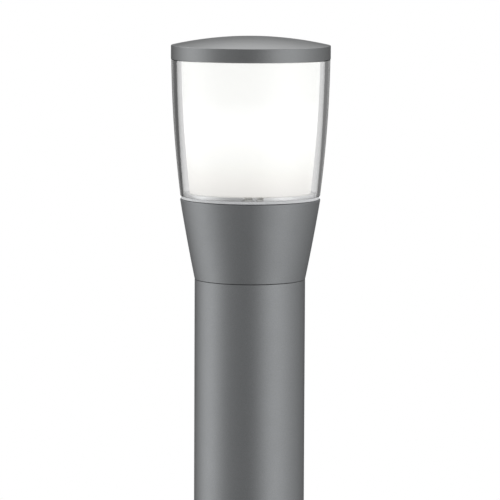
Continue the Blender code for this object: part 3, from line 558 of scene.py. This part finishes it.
def bore_radius(z):
    """The clear wall thins towards its foot."""
    share = min(max((z - BARREL_FOOT_Z) / (BARREL_TOP_Z - BARREL_FOOT_Z), 0.0), 1.0)
    return barrel_radius(z) - BARREL_WALL_FOOT - (BARREL_WALL_TOP - BARREL_WALL_FOOT) * share * (2 - share)


def collar_radius(z):
    return bulged(z, (POLE_RADIUS, FLOOR_Z), (COLLAR_RIM_RADIUS, COLLAR_TOP_Z), COLLAR_BULGE)


def levels(high, low, count):
    return [high + (low - high) * i / (count - 1) for i in range(count)]


def dome_z(radius):
    return TOP_Z - DOME_RISE * (radius / CAP_RADIUS) ** 2


# ---------------------------------------------------------------- foot and pole


def build_foot():
    thickness = FLANGE_THICKNESS
    neck = POLE_RADIUS + 0.45
    spigot_bore = SPIGOT_RADIUS - SPIGOT_WALL
    top = span("base_flange")[1].z
    foot = turned(
        "base_flange_cast",
        [(neck + 3.4, 16.0, 0.9), (neck + 4.6, thickness + 0.2, 2.4), (FOOT_RADIUS, thickness, 2.2),
         (FOOT_RADIUS, 0.0, 0.6), (11.5, 0.0, 0.4), (11.5, thickness, 0.4), (spigot_bore, thickness, 0.8),
         (spigot_bore, top, 0.4), (SPIGOT_RADIUS, top, 0.8), (SPIGOT_RADIUS, thickness, 0.3),
         (neck, thickness, 0.3), (neck, 16.0, 0.5)],
        "base_flange",
    )
    anchors = [polar(65.0, a)[:2] for a in (45, 135, 225, 315)]
    change(foot, pins("anchor_cutter", anchors, 4.5, -5, 20))
    chamfer = pins("anchor_chamfer_cutter", anchors, 4.2, thickness - 0.9, thickness + 0.6, top_radius=5.7)
    change(foot, chamfer)
    ports = [polar(PORT_PITCH_RADIUS, a)[:2] for a in PORT_ANGLES]
    change(foot, pins("foot_screw_cutter", ports, PORT_BORE, -5, 20))
    change(foot, pins("countersink_cutter", ports, 6.2, -0.7, 3.8, top_radius=2.2))
    change(foot, pins("bracket_screw_cutter", [(-8.0, 20.8), (8.0, 20.8)], 2.3, 2.0, 20))
    steady_normals(foot)
    steady_normals(turned(
        "entry_grommet_moulded",
        [(12.5, 11.0, 0.8), (14.3, 9.8, 0.6), (14.3, 8.3, 0.2), (11.2, 8.3, 0.2), (11.2, 1.0, 0.8),
         (6.8, 1.0, 0.8), (7.3, 3.5, 0.6), (6.8, 5.2, 0.6), (7.3, 7.0, 0.6), (6.8, 11.0, 0.8)],
        "entry_grommet", ROUND_SEGMENTS,
    ))


def build_pole():
    inner = POLE_RADIUS - 3.0
    pole = turned(
        "pole_extruded",
        [(POLE_RADIUS, POLE_TOP_Z, 0.35), (POLE_RADIUS, POLE_FOOT_Z, 0.35), (inner, POLE_FOOT_Z, 0.2),
         (inner, POLE_TOP_Z, 0.2)],
        "pole",
    )
    places = [polar(PORT_PITCH_RADIUS, a)[:2] for a in PORT_ANGLES]
    change(pole, pins("port_boss_cutter", places, 5.0, POLE_FOOT_Z, POLE_TOP_Z), "UNION")
    change(pole, pins("port_bore_cutter", places, PORT_BORE, 0, TOP_Z))
    change(pole, radial_bars("port_slot_cutter", PORT_ANGLES, 28.2, 36.2, 2.4, 0, TOP_Z))
    steady_normals(pole)


# ---------------------------------------------------------------- collar and what it carries


def build_collar():
    mouth_foot = TRAY_Z - GAP
    wall = [(collar_radius(z), z) for z in levels(COLLAR_TOP_Z - 3, FLOOR_Z + 3, 24)]
    corners = [(MOUTH_RADIUS, COLLAR_TOP_Z, 0.8), (collar_radius(COLLAR_TOP_Z), COLLAR_TOP_Z, COLLAR_EDGE)]
    corners += [*wall, (POLE_RADIUS, FLOOR_Z, 0.4), (SPIGOT_RADIUS, FLOOR_Z, 0.3)]
    corners += [(SPIGOT_RADIUS, FLOOR_Z - 18, 0.8), (SPIGOT_RADIUS - SPIGOT_WALL, FLOOR_Z - 18, 0.4)]
    corners += [(SPIGOT_RADIUS - SPIGOT_WALL, FLOOR_Z, 0.8), (0, FLOOR_Z), (0, FLOOR_TOP_Z)]
    corners += [(collar_radius(FLOOR_TOP_Z) - 3.6, FLOOR_TOP_Z, 2.0)]
    corners += [(collar_radius(mouth_foot) - 4.9, mouth_foot, 0.4), (MOUTH_RADIUS, mouth_foot, 0.3)]
    profile = filleted(corners, closed=True)
    split = next(i for i, point in enumerate(profile) if point[0] < 1e-6)
    profile = profile[split + 1:] + profile[: split + 1]
    mesh = mesh_from("head_collar_cast", lambda shape: revolve(shape, profile, SEGMENTS))
    collar = piece("head_collar_cast", mesh, "head_collar")
    lugs = radial_bars("lug_cutter", TRAY_LUG_ANGLES, 39.5, 50.6, 8.0, mouth_foot - 15, mouth_foot)
    change(collar, lugs, "UNION")
    lug_holes = [polar(TRAY_SCREW_RADIUS, a)[:2] for a in TRAY_LUG_ANGLES]
    change(collar, pins("lug_hole_cutter", lug_holes, 1.9, mouth_foot - 12, mouth_foot + 5))
    below = FLOOR_Z - 5
    above = FLOOR_TOP_Z + 3
    ports = [polar(PORT_PITCH_RADIUS, a)[:2] for a in PORT_ANGLES]
    change(collar, pins("collar_port_cutter", ports, PORT_BORE, below, above))
    change(collar, pins("gland_cutter", [tuple(middle("gland_body"))[:2]], 6.3, below, above))
    floor_screws = ("holder_bracket_screw_1", "holder_bracket_screw_2", "earth_screw")
    small = [tuple(middle(node))[:2] for node in floor_screws]
    change(collar, pins("floor_screw_cutter", small, 2.0, below, above))
    lock_z = middle("lock_screw_right").z
    change(collar, radial_pins("lock_cutter", (0, 180), 2.3, 45, 65, lock_z))
    steady_normals(collar)


def build_tray():
    low, high = span("lamp_tray")
    inner = 20.6
    tray = turned(
        "lamp_tray_pressed",
        [(high.x, high.z, 0.3), (high.x, low.z, 0.3), (inner, low.z, 0.3), (inner, high.z, 0.3)],
        "lamp_tray",
    )
    holes = [polar(TRAY_SCREW_RADIUS, a)[:2] for a in TRAY_LUG_ANGLES]
    change(tray, pins("tray_hole_cutter", holes, 1.9, low.z - 2, high.z + 4))
    steady_normals(tray)


def build_gaskets():
    low, high = span("lower_gasket")
    outer = 55.6
    inner = MOUTH_RADIUS + 0.4
    centre = (low.z + high.z) / 2
    steady_normals(turned(
        "lower_gasket_ring",
        [(outer, high.z, 0.5), (outer - 0.35, centre, 0.5), (outer, low.z, 0.5), (inner, low.z, 0.4),
         (inner, high.z, 0.4)],
        "lower_gasket",
    ))
    low, high = span("upper_gasket")
    steady_normals(turned(
        "upper_gasket_ring",
        [(61.0, high.z, 0.4), (61.0, low.z, 0.4), (56.3, low.z, 0.4), (56.3, high.z, 0.4)],
        "upper_gasket",
    ))


# ---------------------------------------------------------------- lift-off head


def build_neck_ring():
    low, high = span("neck_ring")
    skirt = MOUTH_RADIUS - GAP
    groove = low.z + 6.0
    ring = turned(
        "neck_ring_machined",
        [(RING_RADIUS, high.z, 0.3), (RING_RADIUS, BARREL_FOOT_Z, 0.2), (skirt, BARREL_FOOT_Z, 0.2),
         (skirt, groove + 1.4, 0.2), (skirt - 0.9, groove + 1.0, 0.2), (skirt - 0.9, groove - 1.0, 0.2),
         (skirt, groove - 1.4, 0.2), (skirt, low.z, 0.7), (47.6, low.z, 0.4),
         (47.6, BARREL_FOOT_Z - 1.8, 0.8), (45.5, BARREL_FOOT_Z, 0.6), (45.5, high.z, 0.4)],
        "neck_ring",
    )
    floor_z = BARREL_FOOT_Z + RECESS_STEP
    outside = BARREL_FOOT_RADIUS + 4
    for width, angles in RECESSES:
        name = f"ring_slot_{width:.0f}_cutter"
        change(ring, radial_bars(name, angles, RECESS_FLOOR_RADIUS, outside, width, floor_z, high.z + 1))
    steady_normals(ring)


def build_clear_barrel():
    neck = CAP_RADIUS - 2.7
    inner_top = bore_radius(BARREL_TOP_Z)
    lip = BARREL_TOP_RADIUS - BARREL_WALL - 3.1
    lip_z = REFLECTOR_TOP_Z + GAP
    foot_z = BARREL_FOOT_Z - GAP + 0.05
    outside = [(barrel_radius(z), z) for z in levels(BARREL_TOP_Z - 0.6, BARREL_FOOT_Z + 2.0, 40)]
    inside = [(bore_radius(z), z) for z in levels(BARREL_FOOT_Z + 0.6, BARREL_TOP_Z - 0.6, 40)]
    corners = [(neck, LIP_TOP_Z, 0.5), (neck, BARREL_TOP_Z, 0.3), (BARREL_TOP_RADIUS, BARREL_TOP_Z, 0.3)]
    corners += [*outside, (BARREL_FOOT_RADIUS, foot_z, BARREL_FOOT_EDGE)]
    corners += [(bore_radius(BARREL_FOOT_Z), foot_z, 0.2), *inside]
    corners += [(inner_top, lip_z, 0.6), (lip, lip_z, 0.3), (lip, LIP_TOP_Z, 0.4)]
    steady_normals(turned("clear_barrel_moulded", corners, "clear_barrel", 192))


def build_diffuser():
    low, high = span("opal_diffuser")
    outside = [(barrel_radius(z) - DIFFUSER_INSET, z) for z in levels(high.z - 0.8, low.z + 0.8, 32)]
    inside = [(radius - DIFFUSER_WALL, z) for radius, z in reversed(outside)]
    top = barrel_radius(high.z) - DIFFUSER_INSET
    foot = barrel_radius(low.z) - DIFFUSER_INSET
    corners = [(top, high.z, 0.4), *outside, (foot, low.z, 0.4), (foot - DIFFUSER_WALL, low.z, 0.4)]
    corners += [*inside, (top - DIFFUSER_WALL, high.z, 0.4)]
    steady_normals(turned("opal_diffuser_moulded", corners, "opal_diffuser"))


def build_reflector():
    low, high = span("top_reflector")
    disc = turned(
        "top_reflector_pressed",
        [(0, high.z), (high.x, high.z, 0.3), (high.x, low.z, 0.3), (0, low.z)],
        "top_reflector",
    )
    holes = [polar(CAP_SCREW_RADIUS, a)[:2] for a in PORT_ANGLES]
    change(disc, pins("reflector_hole_cutter", holes, 1.9, low.z - 3, high.z + 3))
    steady_normals(disc)


def build_cap():
    skin = 3.0
    underside_z = RIM_Z - 4.0
    dome = [(r, dome_z(r)) for r in levels(0.0, CAP_RADIUS - 1.2, 26)]
    skirt = CAP_RADIUS - 2.4
    corners = [*dome, (CAP_RADIUS, RIM_Z, CAP_EDGE), (CAP_RADIUS, BAND_Z, 0.35), (skirt, BAND_Z, 0.3)]
    corners += [(skirt, underside_z, 0.4), (55.0, underside_z, 0.8)]
    corners += [(r, dome_z(r) - skin) for r in levels(52.0, 0.0, 14)]
    cap = turned("cap_cast", corners, "cap", 192)
    cap.data.materials[0] = MATERIALS["cap_graphite"]
    places = [polar(CAP_SCREW_RADIUS, a)[:2] for a in PORT_ANGLES]
    boss_foot = REFLECTOR_TOP_Z + GAP
    change(cap, pins("cap_boss_cutter", places, 3.8, boss_foot, RIM_Z + 0.8), "UNION")
    change(cap, pins("cap_boss_hole_cutter", places, 1.9, boss_foot - 3, boss_foot + 6.5))
    steady_normals(cap)


# ---------------------------------------------------------------- lamp and lampholder


def threaded(pitch, depth, low, high, run_out=2.0):
    """A wobble for revolve() that cuts a rounded thread between two levels."""

    def radius_at(radius, z, angle):
        inside = min(max((z - low) / run_out, 0.0), 1.0) * min(max((high - z) / run_out, 0.0), 1.0)
        wave = 0.5 + 0.5 * math.cos(2 * math.pi * (z / pitch) - angle)
        return radius - depth * inside * (1 - wave)

    return radius_at


def build_lamp():
    cap_foot = LAMP_TIP_Z + 6.5
    cap_top = LAMP_TIP_Z + 28.5
    outer = levels(cap_top, cap_foot + 2.0, 60)
    thread = [(13.0, z) for z in outer] + [(11.4, cap_foot), (9.5, cap_foot), (11.4, cap_foot + 2.4)]
    thread += [(12.1, z) for z in reversed(outer)]
    wobble = threaded(LAMP_PITCH, 0.65, cap_foot + 2.0, cap_top)
    turned("lamp_screw_base_rolled", thread, "lamp_screw_base", 96, wobble, 60)
    centre = LAMP_TOP_Z - GLOBE_RADIUS
    seat_z = centre - GLOBE_CUT
    neck = (HOUSING_RADIUS - 5.0, HOLDER_RIM_Z + 5.5)
    shoulder_z = seat_z - 6
    outline = [(24.0, seat_z, 0.5), (23.2, seat_z - 3.0, 0.5), (HOUSING_RADIUS, shoulder_z, 1.0)]
    outline += [
        (HOUSING_RADIUS - (HOUSING_RADIUS - neck[0]) * t, shoulder_z - (shoulder_z - neck[1]) * t)
        for t in levels(0.1, 0.9, 12)
    ]
    outline += [(*neck, 1.5), (13.0, HOLDER_RIM_Z + 1, 0.6), (13.0, cap_top + GAP, 0.2)]
    outline += [(12.0, cap_top + GAP), (12.0, cap_foot + 8), (10.5, cap_foot + 8), (10.5, HOLDER_RIM_Z + 2)]
    outline += [(15.8, HOLDER_RIM_Z + 6.5), (20.6, seat_z - 5), (21.9, seat_z, 0.3)]

    def ribbed(radius, z, angle):
        inside = min(max((z - HOLDER_RIM_Z - 7) / 3, 0.0), 1.0) * min(max((shoulder_z - z) / 3, 0.0), 1.0)
        return radius - 0.7 * inside * max(0.0, math.cos(angle * 20)) ** 2 if radius > 16.5 else radius

    turned("lamp_housing_moulded", outline, "lamp_housing", 240, ribbed)
    start = math.asin(-(GLOBE_CUT - GAP) / GLOBE_RADIUS)
    angles = levels(math.pi / 2, start, 32)
    globe = [(GLOBE_RADIUS * math.cos(a), centre + GLOBE_RADIUS * math.sin(a)) for a in angles]
    globe[0] = (0.0, LAMP_TOP_Z)
    thin = (GLOBE_RADIUS - 1.2) / GLOBE_RADIUS
    hollow = [(r * thin, centre + (z - centre) * thin) for r, z in reversed(globe)]
    hollow[0] = (globe[-1][0] - 1.3, globe[-1][1])
    turned("lamp_envelope_blown", globe + hollow, "lamp_envelope", 96)


def build_lampholder():
    low, high = span("lampholder_body")
    radius = high.x
    body = turned(
        "lampholder_body_glazed",
        [(0, LAMP_TIP_Z - 4.3), (9.0, LAMP_TIP_Z - 4.3, 0.4), (9.0, LAMP_TIP_Z + 1.5, 0.4),
         (14.4, LAMP_TIP_Z + 1.5, 0.4), (14.4, high.z, 1.4), (radius, high.z, 1.8), (radius, high.z - 9, 0.6),
         (radius - 0.9, high.z - 10.2, 0.6), (radius - 0.9, high.z - 12, 0.6), (radius, high.z - 13.2, 0.6),
         (radius, low.z, 1.0), (0, low.z)],
        "lampholder_body", 96,
    )
    fixings = [(-10.0, 0), (10.0, 0)]
    change(body, pins("holder_fixing_cutter", fixings, 2.0, low.z - 3, low.z + 8))
    steady_normals(body)
    low, high = span("lampholder_shell")
    rows = levels(high.z, low.z, 72)
    profile = [(14.1, z) for z in rows] + [(13.75, z) for z in reversed(rows)]
    wobble = threaded(LAMP_PITCH, 0.3, low.z, high.z, 1.5)
    turned("lampholder_shell_rolled", profile, "lampholder_shell", 96, wobble, 60)


# ---------------------------------------------------------------- small pieces


def socket_screw(name, head_radius, head_height, shaft, length, socket):
    """A screw pointing down from z = 0, with a hexagon recess and a rolled thread.

    A head height below zero makes it countersunk, and a head radius of zero makes it headless.
    """
    pitch = 0.36 * shaft
    depth = 0.13 * shaft
    if not head_radius:
        top = 0.0
        head = [(shaft - 0.4, 0.0), (shaft, -0.4)]
    elif head_height < 0:
        top = 0.0
        head = [(head_radius - 0.2, 0.0), (head_radius, -0.15), (shaft, head_height)]
    else:
        top = head_height
        head = [(head_radius, top, 0.7), (head_radius, 0.0, 0.15), (shaft, 0.0)]
    floor_z = top - max(1.2, 0.6 * abs(head_height))
    start = head[-1][1] - 0.4
    rows = levels(start, 0.6 - length, max(4, round((length + start) / (pitch / 6))))
    corners = [(0, floor_z), (socket, floor_z), (socket, top - 0.25), (socket + 0.25, top), *head]
    corners += [*((shaft, z) for z in rows), (shaft - 0.6, -length), (0, -length)]

    def shaped(radius, z, angle):
        if z > floor_z - 0.01 and radius < socket + 0.01:
            within = (angle + math.pi / 6) % (math.pi / 3) - math.pi / 6
            return radius * math.cos(math.pi / 6) / math.cos(within)
        if abs(radius - shaft) < 0.01 and z < start + 0.01:
            return radius - depth * (0.5 - 0.5 * math.cos(2 * math.pi * z / pitch - angle))
        return radius

    profile = filleted(corners)
    return mesh_from(name, lambda shape: revolve(shape, profile, 24, shaped), 50)


def seat_of(node, pointing, head_height):
    """Where the underside of a screw's head is: its head's end of the box, less the head."""
    low, high = span(node)
    seat = (low + high) / 2
    for axis in range(3):
        if pointing[axis] > 0:
            seat[axis] = low[axis] + max(head_height, 0.0)
        if pointing[axis] < 0:
            seat[axis] = high[axis] - max(head_height, 0.0)
    return seat


def build_screws():
    for prefix, size, pointing in SCREWS:
        mesh = socket_screw(f"{prefix}_shape", *size)
        turn = Vector((0, 0, -1)).rotation_difference(Vector(pointing)).to_matrix().to_4x4()
        for node in sorted(name for name in nodes if name.startswith(prefix)):
            place = Matrix.Translation(seat_of(node, pointing, size[1]) * MM)
            copy = mesh.copy()
            copy.transform(place @ turn)
            piece(f"{node}_threaded", copy, node)


def softened(node, width):
    """A copy of a node's shape with its edges rounded."""
    shape = bmesh.new()
    shape.from_mesh(nodes[node].data)
    bmesh.ops.remove_doubles(shape, verts=shape.verts, dist=1e-6)
    bmesh.ops.dissolve_limit(
        shape, angle_limit=math.radians(1.0), verts=shape.verts, edges=shape.edges,
        use_dissolve_boundaries=False,
    )
    mesh = bpy.data.meshes.new(f"{node}_softened")
    shape.to_mesh(mesh)
    shape.free()
    mesh.shade_smooth()
    mesh.set_sharp_from_angle(angle=math.radians(40))
    obj = piece(f"{node}_softened", mesh, node)
    bevel = obj.modifiers.new("Rounded edges", "BEVEL")
    bevel.width = width * MM
    bevel.segments = 2
    bevel.limit_method = "ANGLE"
    bevel.angle_limit = math.radians(40)
    return steady_normals(obj)


# ---------------------------------------------------------------- stage


def world_light():
    """A plain pale studio: a white backdrop, four tall soft boxes and a soft light from above and behind."""
    world = bpy.data.worlds.new("studio")
    bpy.context.scene.world = world
    world.use_nodes = True
    tree = world.node_tree
    background = tree.nodes["Background"]

    def maths(operation, first, second=None):
        made = tree.nodes.new("ShaderNodeMath")
        made.operation = operation
        for socket, value in zip(made.inputs, (first, second)):
            if isinstance(value, (int, float)):
                socket.default_value = value
            elif value is not None:
                tree.links.new(value, socket)
        return made.outputs["Value"]

    def ramped(value, start, end):
        made = tree.nodes.new("ShaderNodeMapRange")
        made.interpolation_type = "SMOOTHSTEP"
        for socket, number in zip(("From Min", "From Max", "To Min", "To Max"), (start, end, 0.0, 1.0)):
            made.inputs[socket].default_value = number
        tree.links.new(value, made.inputs["Value"])
        return made.outputs["Result"]

    def blend(share, first, second):
        rest = maths("MULTIPLY", maths("SUBTRACT", 1.0, share), first)
        return maths("ADD", rest, maths("MULTIPLY", share, second))

    def bell(value, centre, width):
        offset = maths("DIVIDE", maths("SUBTRACT", value, centre), width)
        return maths("EXPONENT", maths("MULTIPLY", maths("MULTIPLY", offset, offset), -1.0))

    direction = tree.nodes.new("ShaderNodeTexCoord").outputs["Generated"]
    parts = tree.nodes.new("ShaderNodeSeparateXYZ")
    tree.links.new(direction, parts.inputs["Vector"])
    across, along, up = parts.outputs
    azimuth = maths("MULTIPLY", maths("ARCTAN2", across, maths("MULTIPLY", along, -1.0)), 180 / math.pi)
    upright = maths("MULTIPLY", ramped(up, *BOX_FOOT), ramped(up, *BOX_TOP))
    overhead = maths("ADD", maths("MULTIPLY", ramped(along, *OVERHEAD_DEPTH), OVERHEAD_BACK), OVERHEAD)
    around = maths("ADD", maths("MULTIPLY", ramped(up, *OVERHEAD_SPAN), overhead), AMBIENT)
    for centre, width, level in SOFT_BOXES:
        box = maths("MULTIPLY", maths("MULTIPLY", bell(azimuth, centre, width), upright), level)
        around = maths("ADD", around, box)
    limb = maths("ADD", maths("MULTIPLY", across, LIMB_SLOPE), LIMB_LEVEL)
    limb = maths("ADD", limb, maths("MULTIPLY", ramped(along, *LIMB_EDGE), LIMB_BACKDROP))
    path = tree.nodes.new("ShaderNodeLightPath").outputs
    straight = maths("LESS_THAN", path["Diffuse Depth"], 0.5)
    both_walls = maths("GREATER_THAN", path["Transmission Depth"], ONE_WALL)
    # Metal behind the clear wall mirrors the soft boxes, not the backdrop
    mirrored = maths("MULTIPLY", both_walls, maths("GREATER_THAN", path["Glossy Depth"], 0.5))
    mirrored = maths("MULTIPLY", mirrored, ramped(along, *MIRROR_DEPTH))
    direct = maths("MULTIPLY", straight, maths("SUBTRACT", 1.0, mirrored))
    through = maths("MULTIPLY", path["Is Transmission Ray"], direct)
    behind = maths("ADD", maths("MULTIPLY", across, BACKDROP_SLOPE), BACKDROP)
    level = blend(through, around, blend(both_walls, limb, behind))
    tree.links.new(blend(path["Is Camera Ray"], level, 1.0), background.inputs["Strength"])
    background.inputs["Color"].default_value = (1.0, 1.0, 1.0, 1.0)


def floor():
    def build(shape):
        bmesh.ops.create_circle(shape, cap_ends=True, segments=128, radius=FLOOR_RADIUS / MM)

    mesh = mesh_from("studio_floor", build)
    obj = bpy.data.objects.new("studio_floor", mesh)
    bpy.context.scene.collection.objects.link(obj)
    surface = Surface("pale_floor")
    surface.tint(surface.noise(3, 2), (0.80, 0.80, 0.79), (0.82, 0.82, 0.81))
    surface.roughness(surface.noise(8), 0.6, 0.7)
    mesh.materials.append(surface.material)
    obj.visible_glossy = False
    obj.visible_transmission = False


def camera():
    data = bpy.data.cameras.new("camera")
    data.lens = CAMERA_LENS
    data.sensor_width = 36.0
    data.clip_start = 0.05
    data.clip_end = 100.0
    obj = bpy.data.objects.new("camera", data)
    bpy.context.scene.collection.objects.link(obj)
    pitch = math.radians(CAMERA_PITCH)
    aim = Vector((0, 0, CAMERA_AIM_Z))
    obj.location = aim + CAMERA_DISTANCE * Vector((0, -math.cos(pitch), math.sin(pitch)))
    look = (aim - obj.location).to_track_quat("-Z", "Y").to_matrix().to_4x4()
    roll = Matrix.Rotation(math.radians(CAMERA_ROLL), 4, "Z")
    obj.matrix_world = Matrix.Translation(obj.location) @ look @ roll
    bpy.context.scene.camera = obj


for name, obj in nodes.items():
    obj.data.materials.clear()
    obj.data.materials.append(MATERIALS[slot_of_node[name]])

for build_step in (
    build_foot, build_pole, build_collar, build_tray, build_gaskets, build_neck_ring, build_clear_barrel,
    build_diffuser, build_reflector, build_cap, build_lamp, build_lampholder, build_screws,
):
    build_step()

for node, width in (
    ("terminal_block", 0.6), ("cable_clamp", 0.6), ("terminal_bracket", 0.3), ("lampholder_bracket", 0.3),
    ("earth_lug", 0.15), ("gland_body", 0.3), ("gland_locknut", 0.3), ("gland_dome_nut", 0.5),
):
    softened(node, width)

bpy.context.scene.view_settings.view_transform = "Standard"
world_light()
floor()
camera()
